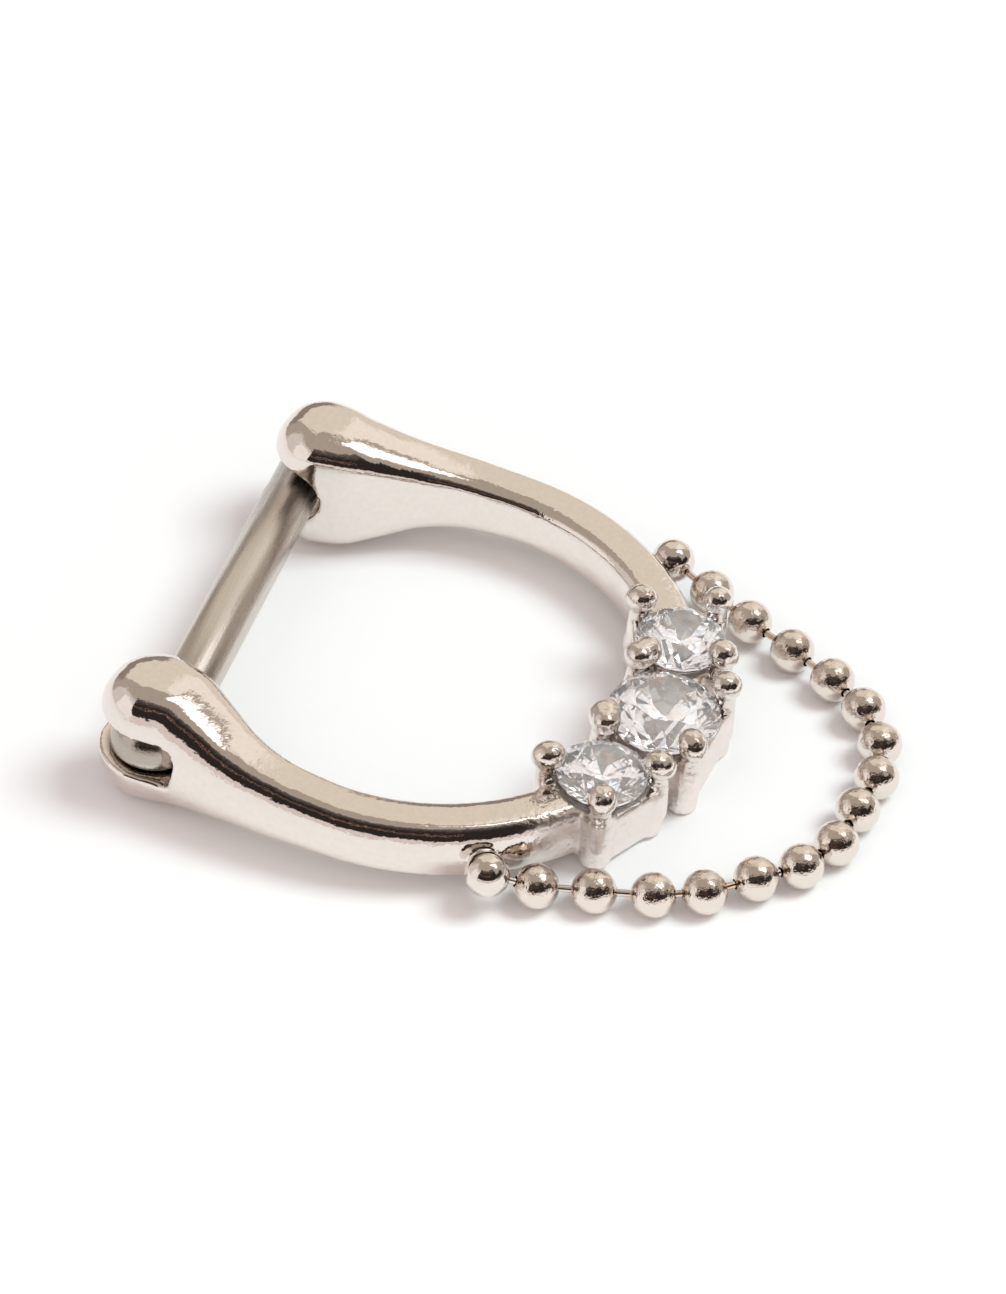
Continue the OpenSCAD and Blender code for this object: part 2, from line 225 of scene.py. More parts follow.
def material_with_surface(name):
    """A new material, its Principled node and a wire to start sums from."""
    material = bpy.data.materials.new(name)
    material.use_nodes = True
    tree = material.node_tree
    surface = next(n for n in tree.nodes if n.type == "BSDF_PRINCIPLED")
    return material, surface, Wire(tree)


def feed(surface, **values):
    """Links wires to, or sets values on, a Principled node's inputs."""
    for name, value in values.items():
        socket = surface.inputs[name.replace("_", " ")]
        if isinstance(value, Wire):
            value.tree.links.new(value.socket, socket)
        else:
            socket.default_value = value


def in_millimetres(wire):
    """Object coordinates in millimetres: pieces lie at the origin, so these are places."""
    place = wire.make("ShaderNodeTexCoord", output=3)
    return wire.make("ShaderNodeVectorMath", {"operation": "SCALE"}, Vector=place, Scale=1 / MM)


# %% [markdown]
# ## The cast and plated metal
#
# The ring is a casting, polished and then plated in a warm silver. A mirror finish on a
# casting is never perfect: fine pits and the orange peel of the polish break up the edges
# of each reflection. Such waves could be sculpted, but they are only a few micrometres
# deep, so a bump in the shader draws them without one more face. A polishing mop doesn't
# reach the walls under the stones, so they are duller. Inside the slot the metal gets
# painted shade, a darker colour. Both are found by their places, since the ring is one
# piece with one material.

# %% Cast metal
def noise(place, scale, detail=2.0):
    return place.make("ShaderNodeTexNoise", Vector=place, Scale=scale, Detail=detail)


def bump(wire, height, depth):
    """A bump that is depth metres deep where height goes from 0 to 1."""
    return wire.make("ShaderNodeBump", Height=height, Distance=depth, Strength=1.0)


def slot_shade_mask(place, radius, low, high):
    """Where painted shade darkens the slot: 1 near the hinge's axis, between two heights over the middle of
    the eye.
    """
    from_eye = place.make("ShaderNodeVectorMath", {"operation": "SUBTRACT"}, in0=place, in1=eye_middle)
    flat = place.make("ShaderNodeVectorMath", {"operation": "MULTIPLY"}, in0=from_eye, in1=(1, 1, 0))
    away = place.make("ShaderNodeVectorMath", {"operation": "LENGTH"}, output=1, in0=flat)
    up = place.make("ShaderNodeSeparateXYZ", output=2, Vector=from_eye)
    return (1 - away.smooth(radius - 0.08, radius + 0.08)) * up.smooth(low - 0.1, low + 0.1) * (
        1 - up.smooth(high - 0.1, high + 0.1))


def cast_metal():
    material, surface, wire = material_with_surface("cast_silver")
    place = in_millimetres(wire)
    spot = wire.make("ShaderNodeSeparateXYZ", Vector=place)
    aside = spot.math("ABSOLUTE", spot.output("Y"))
    level = wire.make("ShaderNodeVectorMath", {"operation": "DOT_PRODUCT"}, output=1,
                      in0=place, in1=ring_up)
    by_stones = (1 - aside.smooth(3.9, 4.7)) * spot.smooth(1.0, 1.8)
    walls_only = by_stones * (1 - level.smooth(wall_top - 0.1, wall_top + 0.1))
    peel = noise(place, 1.6, 2.0)
    grain = noise(place, 7.0, 2.0)
    pits = 1 - wire.make("ShaderNodeTexVoronoi", Vector=place, Scale=5.0).smooth(0.1, 0.4)
    drawn = wire.make("ShaderNodeVectorMath", {"operation": "MULTIPLY"}, in0=place, in1=(7, 7, 0.4))
    file_marks = noise(drawn, 1.0, 2.0)
    tint = grain.smooth(0.3, 0.7).colours((0.79, 0.725, 0.68, 1), (0.82, 0.755, 0.71, 1))
    tint = (walls_only * 0.85).colours(tint, (0.96, 0.89, 0.855, 1))
    # Painted shade: the metal inside the slot is darkened to a deep brown.
    tint = slot_shade_mask(place, 1.05, -0.75, 0.6).colours(tint, (0.40, 0.345, 0.30, 1))
    height = (peel * 0.9 + grain * 0.35 - pits * 0.05
              + by_stones * (grain * 0.9 - pits * 0.4) + walls_only * (grain * 0.5 + file_marks * 1.2))
    feed(surface, Base_Color=tint, Metallic=1.0,
         Roughness=0.02 + grain.smooth(0.35, 0.75) * 0.03 + by_stones * 0.08 + walls_only * 0.3,
         Normal=bump(wire, height, 0.016 * MM))
    return material


cast_silver = cast_metal()
print("cast metal:", len(cast_silver.node_tree.nodes), "nodes, walls end", round(wall_top, 2), "mm up")

# %% [markdown]
# ## Beads, link bars and the post
#
# The beads come out of a barrel of polishing media: bright, with soft dents. The link bars
# are bare wire, coppery where the plating has rubbed off. The post is drawn steel with a
# satin finish, and its fine lines run along it. They could be painted in an image, but a
# noise that is stretched along the post needs no unwrapping. The post stands at an angle to
# the Y axis, so the coordinates are turned back before they are stretched.

# %% Bead, link and post metal
def bead_metal():
    material, surface, wire = material_with_surface("bead_silver")
    place = in_millimetres(wire)
    dents = noise(place, 3.5, 3.0)
    grain = noise(place, 14.0, 3.0)
    feed(surface, Base_Color=(0.80, 0.725, 0.665, 1), Metallic=1.0,
         Roughness=0.03 + grain.smooth(0.4, 0.8) * 0.05,
         Normal=bump(wire, dents + grain * 0.4, 0.018 * MM))
    return material


def link_metal():
    material, surface, wire = material_with_surface("link_wire")
    place = in_millimetres(wire)
    rub = noise(place, 6.0, 2.0)
    tint = rub.smooth(0.45, 0.65).colours((0.76, 0.71, 0.67, 1), (0.78, 0.55, 0.42, 1))
    feed(surface, Base_Color=tint, Metallic=1.0, Roughness=0.14,
         Normal=bump(wire, rub, 0.006 * MM))
    return material


def post_metal():
    material, surface, wire = material_with_surface("satin_steel")
    place = in_millimetres(wire)
    turned = wire.make("ShaderNodeVectorRotate", {"rotation_type": "Z_AXIS"}, Vector=place,
                       Angle=-math.radians(post_lean))
    drawn = wire.make("ShaderNodeVectorMath", {"operation": "MULTIPLY"}, in0=turned, in1=(16, 0.5, 16))
    lines = noise(drawn, 1.0, 3.0)
    grain = noise(place, 24.0, 2.0)
    # Painted shade: inside the slot the steel's colour is darker.
    shade = slot_shade_mask(place, 1.1, -0.28, 0.8)
    feed(surface, Base_Color=shade.colours((0.66, 0.61, 0.56, 1), (0.46, 0.41, 0.365, 1)), Metallic=1.0,
         Roughness=0.24 - shade * 0.12 + lines.smooth(0.3, 0.7) * 0.1,
         Normal=bump(wire, lines * 0.6 + grain * 0.6, 0.005 * MM))
    return material


bead_silver = bead_metal()
link_wire = link_metal()
satin_steel = post_metal()
print("metals:", bead_silver.name, link_wire.name, satin_steel.name)

# %% [markdown]
# ## Stones
#
# The stones are clear and colourless, with a refractive index of about 2.16. They could be
# cut again here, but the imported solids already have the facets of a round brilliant. What
# they need is a glass that bends light as hard as the real stones do. Real ones also split
# light into colours, which this renderer's glass doesn't, so a few small cells of the
# stone are tinted orange or blue instead. The glass is a little short of fully clear, which
# gives the facets their milky glints.

# %% Clear stone
def clear_stone():
    material, surface, wire = material_with_surface("clear_stone")
    place = in_millimetres(wire)
    cells = wire.make("ShaderNodeTexVoronoi", {"feature": "F1"}, output=1, Vector=place, Scale=5.0)
    sparks = wire.make("ShaderNodeSeparateColor", Color=cells)
    fire = wire.make("ShaderNodeValToRGB", {"stops": [
        (0.0, (0.90, 0.94, 1.0, 1)), (0.2, (0.99, 0.97, 0.96, 1)), (0.88, (0.99, 0.97, 0.96, 1)),
        (0.94, (1.0, 0.76, 0.60, 1)), (1.0, (0.66, 0.80, 1.0, 1))]}, Fac=sparks)
    feed(surface, Base_Color=fire, Roughness=0.0, IOR=2.16, Transmission_Weight=0.86)
    return material


stone_glass = clear_stone()
print("stone:", stone_glass.name)

# %% [markdown]
# ## Tools for casting
#
# A jeweller puts a wax model together from simple shapes before it is cast, and this file
# does the same: each feature is built as its own closed form, and all of them are fused
# later. One mesh could be pushed and pulled into shape instead, but then no size could be
# changed alone. `Form` collects forms in one mesh. A lathe profile gives everything round, a
# box everything straight, and `sweep` draws a section along a list of stations.

# %% Forms
class Form:
    """A mesh in the making, in millimetres."""

    def __init__(self, name):
        self.name = name
        self.bm = bmesh.new()

    def box(self, low, high, matrix=Matrix(), round_off=0.0, where=None):
        """A box; round_off bevels its edges, or those whose middle passes where."""
        low, high = Vector(low), Vector(high)
        size = Matrix.Diagonal((*(high - low), 1))
        place = matrix @ Matrix.Translation((low + high) / 2) @ size
        made = bmesh.ops.create_cube(self.bm, size=1, matrix=place)
        if round_off:
            home = place.inverted()
            edges = [e for e in {e for v in made["verts"] for e in v.link_edges}
                     if where is None or where(home @ ((e.verts[0].co + e.verts[1].co) / 2))]
            bmesh.ops.bevel(self.bm, geom=edges, offset=round_off, segments=4, profile=0.5,
                            affect="EDGES", material=-1)

    def lathe(self, profile, matrix=Matrix(), steps=32):
        """Spins a profile of (radius, height) points about Z."""
        verts = [self.bm.verts.new((r, 0, z)) for r, z in profile]
        edges = [self.bm.edges.new(pair) for pair in zip(verts, verts[1:])]
        made = bmesh.ops.spin(self.bm, geom=verts + edges, angle=math.tau, steps=steps,
                              axis=(0, 0, 1), cent=(0, 0, 0), use_merge=True)
        faces = {f for v in verts for f in v.link_faces}
        todo = list(faces)
        while todo:
            for edge in todo.pop().edges:
                for face in edge.link_faces:
                    if face not in faces:
                        faces.add(face)
                        todo.append(face)
        points = list({v for f in faces for v in f.verts})
        bmesh.ops.remove_doubles(self.bm, verts=points, dist=1e-5)
        points = [v for v in points if v.is_valid]
        bmesh.ops.transform(self.bm, matrix=matrix, verts=points)

    def ball(self, radius, matrix=Matrix()):
        bmesh.ops.create_uvsphere(self.bm, u_segments=32, v_segments=16, radius=radius, matrix=matrix)

    def sweep(self, stations, section, sides):
        """A tube with one loop of vertices per station; section gives each vertex's place."""
        bmesh.ops.create_circle(self.bm, cap_ends=False, radius=1, segments=sides)
        loop = [e for e in self.bm.edges if e.is_wire]
        tube = list({v for e in loop for v in e.verts})
        for _ in range(len(stations) - 1):
            made = bmesh.ops.extrude_edge_only(self.bm, edges=loop)["geom"]
            fresh = [g for g in made if isinstance(g, bmesh.types.BMVert)]
            loop = [g for g in made if isinstance(g, bmesh.types.BMEdge)]
            bmesh.ops.translate(self.bm, vec=(0, 0, 1), verts=fresh)
            tube += fresh
        for vert in tube:
            vert.co = section(round(vert.co.z), math.atan2(vert.co.y, vert.co.x))
        ends = [e for v in tube for e in v.link_edges if e.is_boundary]
        bmesh.ops.holes_fill(self.bm, edges=list(set(ends)), sides=0)

    def object(self):
        """The form as an object of the scene, its faces turned outward."""
        bmesh.ops.recalc_face_normals(self.bm, faces=self.bm.faces)
        mesh = bpy.data.meshes.new(self.name)
        self.bm.to_mesh(mesh)
        self.bm.free()
        made = bpy.data.objects.new(self.name, mesh)
        bpy.context.scene.collection.objects.link(made)
        return made


# %% [markdown]
# ## The band, its arms and the lobes
#
# The lobes could be balls joined to a bent bar, but that leaves a seam which the polished
# casting doesn't have. So one sweep makes them all: it starts at the back of the near lobe,
# runs forward along the near arm, round the front under the stones, and back to the far
# lobe. Each station of the sweep says where the section stands, how large it is and how
# round. An arm is a few rows of shares, with a smooth curve through them.

# %% Stations of the sweep
# Rows of x, y, width and height along an arm, as shares: x and y go from 0 at the lobe to
# 1 at the band, width and height from 1 at the lobe to 0 at the band.
arm_rows = ((0.00, 0.00, 1.00, 1.00), (0.13, 0.09, 0.84, 0.93), (0.27, 0.31, 0.60, 0.67),
            (0.49, 0.68, 0.28, 0.28), (0.73, 0.93, 0.07, 0.09), (1.00, 1.00, 0.00, 0.01))
back_steps, arm_steps, front_steps = 14, 8, 30
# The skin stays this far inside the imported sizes, for the bumps of the remeshing.
trim = 0.012


def mix(a, b, share):
    return a + (b - a) * share


def through(rows, place):
    """A smooth curve through rows of numbers; place counts rows."""
    i = min(int(place), len(rows) - 2)
    f = place - i
    a, b, c, d = (rows[min(max(k, 0), len(rows) - 1)] for k in (i - 1, i, i + 1, i + 2))
    return [q + f / 2 * ((r - p) + f * ((2 * p - 5 * q + 4 * r - s) + f * (3 * (q - r) + s - p)))
            for p, q, r, s in zip(a, b, c, d)]


def half_stations():
    """From the back of a lobe to the front: x, y, width, height, middle's height, and how
    round the section is outside and inside."""
    rows = []
    for step in range(back_steps):
        back = math.cos(math.radians(90 * (step + 0.4) / back_steps))
        across, up = math.sqrt(1 - back ** 2), (1 - back ** 2.5) ** 0.45
        wide, high = lobe_d * across, lobe_h - lobe_d + lobe_d * up
        rows.append(((trim - lobe_r) * back, lobe_y, wide, high, mid_z, 1, mix(0.12, 0.9, back)))
    for step in range((len(arm_rows) - 1) * arm_steps + 1):
        x, y, wide, high = through(arm_rows, step / arm_steps)
        rows.append((x * band_x, mix(lobe_y, band_r, y), mix(band_w, lobe_d, wide),
                     mix(band_h, lobe_h, high), mix(band_z, mid_z, high), high ** 2, 0.12 * high))
    for step in range(1, front_steps + 1):
        place = on_band(90 - 90 / front_steps * step, band_r)
        rows.append((place.x, place.y, band_w, band_h, band_z, 0, 0))
    return rows


far_half = half_stations()
near_half = [(x, -y, *rest) for x, y, *rest in far_half]
stations = near_half + far_half[-2::-1]
print("stations of the sweep:", len(stations))

# %% [markdown]
# ## The section of the band
#
# The band isn't a plain round wire. Its top is gently domed. Towards the outside it ends in
# a crisp edge above a round side, and towards the inside it turns over sharply into an
# upright wall. The lobes are rounder: a superellipse with one exponent for the top and one
# for the sides. Both could be curve objects, but a function can mix the two shapes from
# station to station, and that makes the edges fade out towards the lobes.

# %% Section and sweep
# A quarter of the section in shares of its half sizes, from the middle of its top to its
# side. Its upper outer quarter follows the first list, and the other three the second.
outside = ((0, 1), (0.22, 0.99), (0.43, 0.964), (0.49, 0.94), (0.65, 0.82), (0.80, 0.635),
           (0.91, 0.41), (0.975, 0.20), (1, 0))
inside = ((0, 1), (0.20, 0.995), (0.40, 0.975), (0.58, 0.94), (0.74, 0.88), (0.87, 0.79),
          (0.93, 0.70), (0.985, 0.40), (1, 0))
sides = 8 * (len(inside) - 1)
top_power, side_power = 3.2, 2.1


def section_point(angle, round_outside, round_inside):
    """A point of the section, across and up, in shares of its half sizes."""
    across, up = math.cos(angle), math.sin(angle)
    quarter = min(abs(math.asin(max(-1, min(1, across)))) / math.radians(90), 1) * (len(inside) - 1)
    outer = across > 0
    u, v = through(outside if outer and up > 0 else inside, quarter)
    share = round_outside if outer else round_inside
    u = mix(u, abs(across) ** (2 / top_power), share)
    v = mix(v, abs(up) ** (2 / side_power), share)
    return math.copysign(u, across), math.copysign(v, up)


def band_section(i, angle):
    """The place of a vertex of the band: i is its station, angle runs round the section."""
    x, y, wide, high, z, *roundness = stations[i]
    before, after = stations[max(i - 1, 0)], stations[min(i + 1, len(stations) - 1)]
    along = Vector((after[0] - before[0], after[1] - before[1])).normalized()
    u, v = section_point(angle, *roundness)
    u, v = u * (wide / 2 - trim), v * (high / 2 - trim)
    return Vector((x + along.y * u, y - along.x * u, z + v))


band = Form("band")
band.sweep(stations, band_section, sides)
casting = band.object()
print("band:", len(casting.data.vertices), "vertices")

# %% [markdown]
# ## The settings
#
# Each stone stands in a basket: four walls under it, a prong on each corner of the square
# and a ball on each prong, which was raised to hold the stone down. A ball that is fused
# to its prong leaves a narrow neck under it, where the polish never reaches. No two balls
# are drawn out alike, since each was pushed over by hand. Copies of one prong would do for a
# drawing, but not this close, so a function makes each prong with its own ball.

# %% Baskets, prongs and soldered beads
foot_z, wall_z, ball_z = band_lift, stone_z - wall_drop, stone_z + prong_lift
column_r, neck_r, ball_r = 0.3, 0.24, 0.335
column_in, corner_r = 0.12, 0.35
corner_below, corner_above, column_up, neck_h = 0.15, 0.1, 0.5, 0.3
ball_lean = -20
stones = [(on_band(0, band_r), 0, middle_stone_d / 2)]
stones += [(on_band(side * side_turn, band_r), side * side_turn, side_stone_d / 2) for side in (-1, 1)]


def at_stone(place, turn):
    return Matrix.Translation(place) @ Matrix.Rotation(math.radians(turn), 4, "Z")


def prong(place, inward):
    """A column that gets slimmer to a neck, and a ball drawn out towards the stone."""
    shift = Vector((math.cos(inward), math.sin(inward), 0)) * column_in
    extras.lathe([(0, foot_z), (corner_r, foot_z), (corner_r, wall_z - corner_below),
                  (column_r, wall_z + corner_above), (0, wall_z + corner_above)],
                 place @ Matrix.Translation(shift))
    extras.lathe([(0, foot_z + column_up), (column_r, foot_z + column_up), (neck_r, ball_z - neck_h),
                  (neck_r, ball_z), (0, ball_z)], place @ hair)
    longer = dice.uniform(1.08, 1.25)
    extras.ball(ball_r, place @ Matrix.Translation((0, 0, ball_z)) @ Matrix.Rotation(inward, 4, "Z")
                @ Matrix.Rotation(math.radians(ball_lean), 4, "Y") @ Matrix.Diagonal((longer, 1, 0.95, 1)))


dice = random.Random(7)
# A neck is set off its axis by a hair, since the Boolean stumbles over seams that coincide.
hair = Matrix.Translation((0.003, 0.002, 0)) @ Matrix.Rotation(0.1, 4, "Z")
extras = Form("baskets")
for place, turn, r in stones:
    here = at_stone(place, turn)
    c = (r + prong_out) * math.cos(math.radians(45))
    w = c + wall_out
    extras.box((-w, -w, foot_z), (w, w, wall_z), here, round_off=0.08)
    for sx in (-1, 1):
        for sy in (-1, 1):
            prong(here @ Matrix.Translation((sx * c, sy * c, 0)), math.atan2(-sy, -sx))
for side in (-1, 1):
    bar_end = on_band(side * side_turn, band_r)
    bar_turn = side * (side_turn / 2 - 90)
    length = (on_band(0, band_r) - bar_end).length
    extras.box((0, -band_w / 2, foot_z), (length, band_w / 2, foot_z + band_h),
               at_stone(bar_end, bar_turn))

end_r = band_r + band_w / 2 + bead_d / 2 - solder
end_beads = [on_band(side * end_bead_angle, end_r) + Vector((0, 0, band_z)) for side in (-1, 1)]
for place in end_beads:
    extras.ball(bead_d / 2, Matrix.Translation(place))
baskets = extras.object()
print("baskets, prongs and end beads:", len(baskets.data.vertices), "vertices")

# %% [markdown]
# ## What is cut out
#
# The seats that hold the stones, open at the back so that light gets in, the slot that the
# post's eye turns in, the groove that the tip clicks into, and the hole for the pin. The
# slot and the groove run out of the backs of the lobes, so the post can swing out. Each
# could be an inset and an extrusion of the skin, but a real ring has them milled out of
# the casting, and a closed cutter does the same wherever it meets the skin.

# %% Cutters
girdle_share, pavilion_share, crown_share, table_share, back_share = 0.06, 0.86, 0.32, 0.57, 0.45
# A cutter reaches this far past the skin, and faces that would coincide are kept apart.
over, apart = 1.0, 0.01
hole_r = pin_d / 2 + apart
seats = Form("seats")
for place, turn, r in stones:
    girdle = girdle_share * r / 2 + seat_gap
    cone_low = stone_z - girdle - pavilion_share * r
    back_z = cone_low + back_share * pavilion_share * r
    seats.lathe([(0, foot_z - over), (back_share * r, foot_z - over), (back_share * r, back_z),
                 (r + seat_gap, stone_z - girdle), (r + seat_gap, stone_z + girdle),
                 (table_share * r + seat_gap, stone_z + girdle + crown_share * r),
                 (table_share * r + seat_gap, stone_z + over + crown_share * r),
                 (0, stone_z + over + crown_share * r)], at_stone(place, turn))

slot_h = eye_h + eye_gap + eye_gap_above
slot_z = mid_z - eye_h / 2 - eye_gap
eye = Matrix.Translation((0, -lobe_y, slot_z))
slot_eye, slot_side, slot_neck = Form("slot_eye"), Form("slot_side"), Form("slot_neck")
slot_eye.lathe([(0, 0), (eye_d / 2 + groove_gap, 0), (eye_d / 2 + groove_gap, slot_h), (0, slot_h)],
               eye, steps=64)
# The end of the slot leans forward as it goes up, and its upper edge is rounded.
lean, lean_from, slot_round = 0.17, -0.12, 0.42
slot_lean = Matrix(((1, 0, lean, lean_from), (0, 1, 0, 0), (0, 0, 1, 0), (0, 0, 0, 1)))
slot_side.box((-lobe_d, -lobe_d, 0), (slot_reach, 0, slot_h), eye @ slot_lean, round_off=slot_round,
              where=lambda middle: middle.x > 0.4 and middle.z > 0.4)
slot_neck.box((-lobe_d, -apart, 0), (post_inset + post_r + groove_gap, lobe_d, slot_h), eye)

pin_hole = Form("pin_hole")
pin_top = lobe_h - pin_cover
pin_hole.lathe([(0, -over), (hole_r, -over), (hole_r, pin_top), (0, pin_top)],
               Matrix.Translation((0, -lobe_y, 0)))

tip_y = lobe_span / math.cos(math.radians(post_lean)) + tip_past
post_place = (Matrix.Translation((0, -lobe_y, mid_z)) @ Matrix.Rotation(math.radians(post_lean), 4, "Z")
              @ Matrix.Translation((post_inset, 0, 0)))
groove_from, groove_to = lobe_span - lobe_r - over, tip_y + groove_gap
groove_r = post_r + groove_gap
groove, groove_side = Form("groove"), Form("groove_side")
groove.lathe([(0, groove_from), (groove_r, groove_from), (groove_r, groove_to), (0, groove_to)],
             post_place @ Matrix.Rotation(math.radians(-90), 4, "X"), steps=48)
groove_half = groove_r - apart
groove_side.box((-lobe_d - over, groove_from, -groove_half), (0, groove_to, groove_half), post_place)

cutting = (seats, slot_eye, slot_side, slot_neck, pin_hole, groove, groove_side)
cutters = [form.object() for form in cutting]
print("cutters:", {c.name: len(c.data.vertices) for c in cutters})

# %% [markdown]
# ## Fused, cut and polished
#
# The forms are joined with exact Booleans, and then the whole solid is skinned again with
# small even cells and relaxed a little. That rounds each edge and leaves a fillet where
# two forms meet, as molten metal and a polishing drum do. Bevels could round the edges
# too, but not the hundreds of short ones where a ball meets a wall.

# %% The finished casting
# Fine enough for the necks under the balls, and still under 200,000 triangles in all.
cell = 0.056


def add_boolean(thing, other, kind, overlaps=False):
    step = thing.modifiers.new(other.name, "BOOLEAN")
    step.operation = kind
    step.solver = "EXACT"
    step.use_self = overlaps
    step.object = other


def finished_mesh(thing, spares):
    """The mesh that the modifiers leave; the object and the spare ones are removed."""
    mesh = bpy.data.meshes.new_from_object(thing.evaluated_get(bpy.context.evaluated_depsgraph_get()))
    for spare in [thing, *spares]:
        bpy.data.objects.remove(spare)
    return mesh


add_boolean(casting, baskets, "UNION", overlaps=True)
for cutter in cutters:
    add_boolean(casting, cutter, "DIFFERENCE")
skin = casting.modifiers.new("skin", "REMESH")
skin.mode = "VOXEL"
skin.voxel_size = cell
skin.use_smooth_shade = True
relax = casting.modifiers.new("relax", "SMOOTH")
relax.factor = 0.5
relax.iterations = 6

finished = finished_mesh(casting, [baskets, *cutters])
finished.transform(LAY)
cast_ring = bpy.data.objects.new("cast_ring", finished)
scene.collection.objects.link(cast_ring)
cast_ring.data.materials.append(cast_silver)
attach(cast_ring, "ring")
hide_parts("ring")
print("casting:", len(finished.polygons), "faces")

# %% [markdown]
# ## The post
#
# A straight steel rod with an eye at one end, which turns on the pin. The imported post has
# the right sizes, but the rim of its eye is plainer than the real one, which is domed and
# shows dark and bright lines in the depth of the slot. Eye, neck and rod are turned shapes
# on the real post, so a lathe makes them here too. The neck is then cut flat to the eye's
# thickness, and a Boolean fuses the three.

# %% Forms of the post
post_relief = 0.03
neck_y = lobe_r + groove_gap
free_y = lobe_span * math.cos(math.radians(post_lean)) - lobe_r - groove_gap
along_rod = Matrix.Translation((post_inset, 0, 0)) @ Matrix.Rotation(math.radians(-90), 4, "X")
half_h, low_edge, dome_in, dome_z = eye_h / 2, 0.1, 0.6, -0.28
rim = [(eye_d / 2 - low_edge + low_edge * math.cos(math.radians(t)),
        low_edge - half_h + low_edge * math.sin(math.radians(t))) for t in range(-90, 1, 15)]
rim += [(eye_d / 2 - dome_in + dome_in * math.cos(math.radians(t)),
         dome_z + (half_h - dome_z) * math.sin(math.radians(t))) for t in range(0, 91, 9)]
slim_r, neck_from, neck_to = post_r - post_relief, 0.4, neck_y + 0.05
eye_form, neck_form, rod_form = Form("eye"), Form("neck"), Form("rod")
eye_form.lathe([(hole_r, -half_h), *rim, (hole_r, half_h), (hole_r, -half_h)], steps=96)
neck_form.lathe([(0, neck_from), (slim_r, neck_from), (slim_r, neck_to), (0, neck_to)], along_rod, steps=64)
for z in (-half_h, half_h):
    cut = bmesh.ops.bisect_plane(neck_form.bm, geom=neck_form.bm.verts[:] + neck_form.bm.edges[:]
                                 + neck_form.bm.faces[:], plane_co=(0, 0, z), plane_no=(0, 0, z),
                                 clear_outer=True)["geom_cut"]
    bmesh.ops.holes_fill(neck_form.bm, edges=[e for e in cut if isinstance(e, bmesh.types.BMEdge)])
edge_in, edge_run, chamfer = 0.02, 0.03, 0.15
rod_form.lathe([(0, neck_y), (post_r - edge_in, neck_y), (post_r, neck_y + edge_run),
                (post_r, free_y - edge_run), (post_r - edge_in, free_y), (slim_r, tip_y - chamfer),
                (post_r - chamfer, tip_y), (0, tip_y)], along_rod, steps=96)
print("post: eye", eye_d, "mm across, tip", round(tip_y, 2), "mm from the pin")

# %% [markdown]
# ## The post in one skin
#
# On the real post nothing separates the eye from the rod. The three shapes could be left
# as they are, each closed and overlapping the next, but then lines would show where they
# meet, and a Boolean leaves one skin. Edges of more than 40 degrees stay sharp, as the
# lathe's tool left them.

# %% Post fused and laid down
rod, spare_parts = rod_form.object(), [neck_form.object(), eye_form.object()]
for other in spare_parts:
    add_boolean(rod, other, "UNION")
turned_post = finished_mesh(rod, spare_parts)
turned_post.transform(LAY @ Matrix.Translation((0, -lobe_y, mid_z))
                      @ Matrix.Rotation(math.radians(post_lean), 4, "Z"))
turned_post.shade_smooth()
turned_post.set_sharp_from_angle(angle=math.radians(40))
steel_post = bpy.data.objects.new("steel_post", turned_post)
scene.collection.objects.link(steel_post)
steel_post.data.materials.append(satin_steel)
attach(steel_post, "post")
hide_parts("post")
print("post:", len(turned_post.polygons), "faces")

# %% [markdown]
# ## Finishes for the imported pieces
#
# The pin, the beads, the link bars and the stones could be modelled again as well, but
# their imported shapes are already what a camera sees: round balls, thin bars and cut facets.
# They keep their shapes and only get their finish here.

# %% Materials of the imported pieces
def finish_of(name):
    if name.endswith("stone"):
        return stone_glass
    if name == "hinge_pin":
        return satin_steel
    return link_wire if name.startswith("link") else bead_silver


kept = {name: thing for name, thing in nodes.items() if name not in ("ring", "post")}
for name, thing in kept.items():
    thing.data.materials.clear()
    thing.data.materials.append(finish_of(name))
print("finished pieces:", len(kept), sorted({finish_of(name).name for name in kept}))

# %% [markdown]
# ## Table
#
# The ring lies on a plain pale sweep of paper. A bare plane could be one flat colour, but
# real paper has a faint cloudiness. It is matt, so it shows soft shadows and nothing else.

# %% Floor
floor_mesh = Form("floor")
bmesh.ops.create_grid(floor_mesh.bm, x_segments=1, y_segments=1, size=1.5)
floor = floor_mesh.object()
paper, surface, wire = material_with_surface("paper")
fibre = noise(in_millimetres(wire), 0.6, 2.0)
feed(surface, Base_Color=fibre.colours((0.92, 0.92, 0.92, 1), (0.935, 0.935, 0.935, 1)), Roughness=0.95,
     Specular_IOR_Level=0.1)
floor.data.materials.append(paper)
print("paper:", [round(v, 1) for v in floor.dimensions], "m")

# %% [markdown]
# ## Light
#
# Polished metal shows the room more than itself, so the room is part of the picture. Walls,
# windows and dark stands could be built as planes round the ring, but then each would also
# light the paper. Here the room is drawn in the world by direction instead, so its place in
# the reflections is set in degrees: azimuth is measured from +X towards +Y.

# %% Directions and fields
def direction(azimuth, elevation):
    a, e = math.radians(azimuth), math.radians(elevation)
    return Vector((math.cos(a) * math.cos(e), math.sin(a) * math.cos(e), math.sin(e)))


world = bpy.data.worlds.new("room")
scene.world = world
world.use_nodes = True
tree = world.node_tree
sky = Wire(tree)
look = sky.make("ShaderNodeTexCoord", output=0)
height = look.make("ShaderNodeVectorMath", {"operation": "DOT_PRODUCT"}, output=1, in0=look, in1=(0, 0, 1))
rise = height.math("ARCSINE", height) * math.degrees(1)


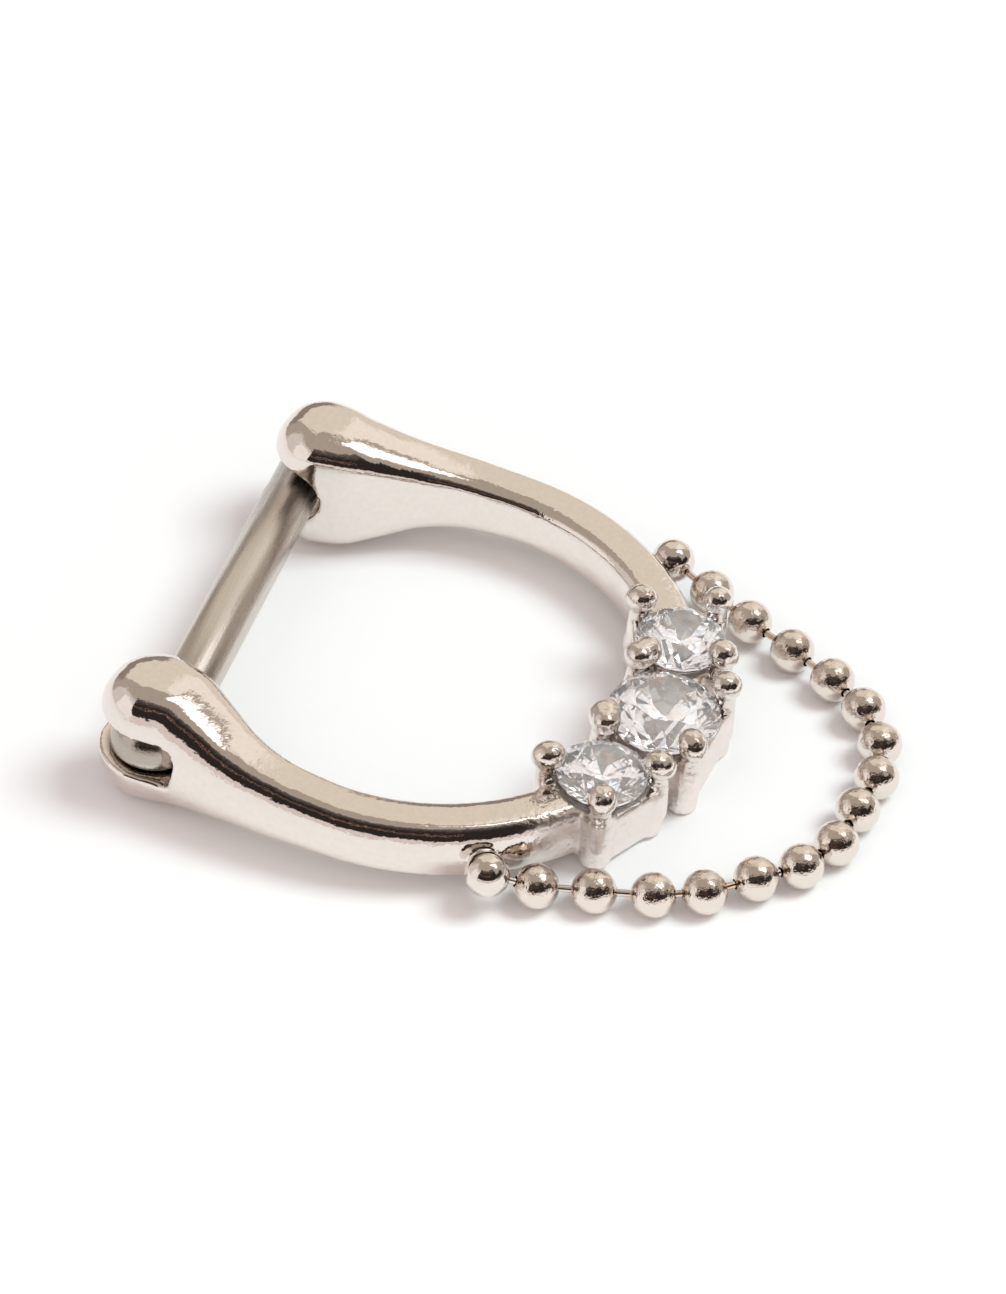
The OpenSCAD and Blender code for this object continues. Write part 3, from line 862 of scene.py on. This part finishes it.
def around(azimuth):
    """Degrees of azimuth between a ray and this one, without a sign."""
    ahead = look.make("ShaderNodeVectorMath", {"operation": "DOT_PRODUCT"}, output=1,
                      in0=look, in1=direction(azimuth, 0))
    aside = look.make("ShaderNodeVectorMath", {"operation": "DOT_PRODUCT"}, output=1,
                      in0=look, in1=direction(azimuth + 90, 0))
    return ahead.math("ABSOLUTE", ahead.math("ARCTAN2", aside, ahead)) * math.degrees(1)


def window(azimuth, half_width, low, high, soft):
    """1 inside a field of directions, 0 outside, with soft edges, all in degrees."""
    inside = 1 - around(azimuth).smooth(half_width - soft, half_width + soft)
    above = rise.smooth(low - soft, low + soft)
    below = 1 - rise.smooth(high - soft, high + soft)
    return inside * above * below


print("one degree of azimuth is", round(direction(1, 0).y, 4), "across at a distance of 1")

# %% [markdown]
# ## What the metal shows
#
# The walls and the ceiling are warm beige. On them lie the brighter and darker fields that
# can be read off the reflections: pale walls to the left, a beige screen and a dark corner
# behind, the softbox high on the right, and the edge of the table low in front. The dark
# zone in front is where the camera and its stand are, with two copper pipes across it. A
# photographed room would do the same, but here each field can be moved by itself.

# %% Fields of the room
walls = rise.smooth(20, 80).colours((0.47, 0.41, 0.355, 1), (0.46, 0.40, 0.34, 1))
# Azimuth, half width, low and high edge, softness, and colour; later ones lie on top.
fields = ((-148, 36, -40, 48, 5, (0.74, 0.68, 0.64, 1)),
          (-137, 19, -10, 38, 1, (1.00, 0.95, 0.91, 1)),
          (128, 24, -20, 24, 5, (0.31, 0.26, 0.23, 1)),
          (84, 20, -30, 24, 5, (0.83, 0.76, 0.65, 1)),
          (104, 42, 22, 70, 1.5, (0.83, 0.76, 0.65, 1)),
          (76, 14, 24, 66, 4, (1.02, 0.95, 0.86, 1)),
          (33, 19, 46, 78, 6, (1.9, 1.85, 1.8, 1)),
          (-65, 53, -20, 12, 2, (0.80, 0.71, 0.68, 1)))
for *place, colour in fields:
    walls = window(*place).colours(walls, colour)
dark = window(-65, 53, 11, 60, 1.5)
dark = dark.math("MAXIMUM", dark, window(0, 22, 8, 30, 4))
shadow = rise.smooth(40, 64).colours((0.03, 0.024, 0.022, 1), (0.17, 0.145, 0.13, 1))
walls = dark.colours(walls, shadow)
for low in (30.5, 34.5):
    walls = (window(-88, 40, low, low + 0.9, 0.5) * 0.8).colours(walls, (0.50, 0.28, 0.20, 1))
print("fields of the room:", len(fields))

# %% [markdown]
# ## What the other rays meet
#
# Metal wants dark fields, but the paper and the stones want plain light. One world can
# serve them all, since it knows what kind of ray asks: rays through a stone meet a bright
# room, rays that leave the paper meet a soft fill from the front, and rays straight from
# the camera meet a white backdrop.

# %% Light by kind of ray
rays = sky.make("ShaderNodeLightPath")
walls = (rays.output("Is Transmission Ray") * 0.92).colours(walls, (1.38, 1.31, 1.29, 1))
front = look.make("ShaderNodeVectorMath", {"operation": "DOT_PRODUCT"}, output=1,
                  in0=look, in1=direction(-80, 35)).smooth(-0.2, 0.9)
fill = front.colours((0.30, 0.27, 0.265, 1), (1.03, 0.92, 0.90, 1))
seen = rays.output("Is Diffuse Ray").colours(walls, fill)
seen = rays.output("Is Camera Ray").colours(seen, (0.95, 0.95, 0.95, 1))
tree.links.new(seen.socket, next(n for n in tree.nodes if n.type == "BACKGROUND").inputs["Color"])
print("nodes in the world:", len(tree.nodes))

# %% [markdown]
# ## Softbox
#
# One large soft light stands high on the right and draws the soft shadows. Its reflection
# is already among the fields of the room, where its edges can be softened, so the lamp
# itself is hidden from glossy rays and from the camera.

# %% Softbox
softbox = bpy.data.lights.new("softbox", "AREA")
softbox.shape = "RECTANGLE"
softbox.size, softbox.size_y = 0.16, 0.18
softbox.energy = 0.97
softbox.color = (0.86, 1.0, 1.0)
box = bpy.data.objects.new("softbox", softbox)
towards_box = direction(21, 58)
box.location = towards_box * 0.4
box.rotation_euler = towards_box.to_track_quat("Z", "Y").to_euler()
box.visible_camera = False
box.visible_glossy = False
scene.collection.objects.link(box)
scene.view_settings.view_transform = "Standard"
print("softbox at", [round(v, 2) for v in box.location], "m")
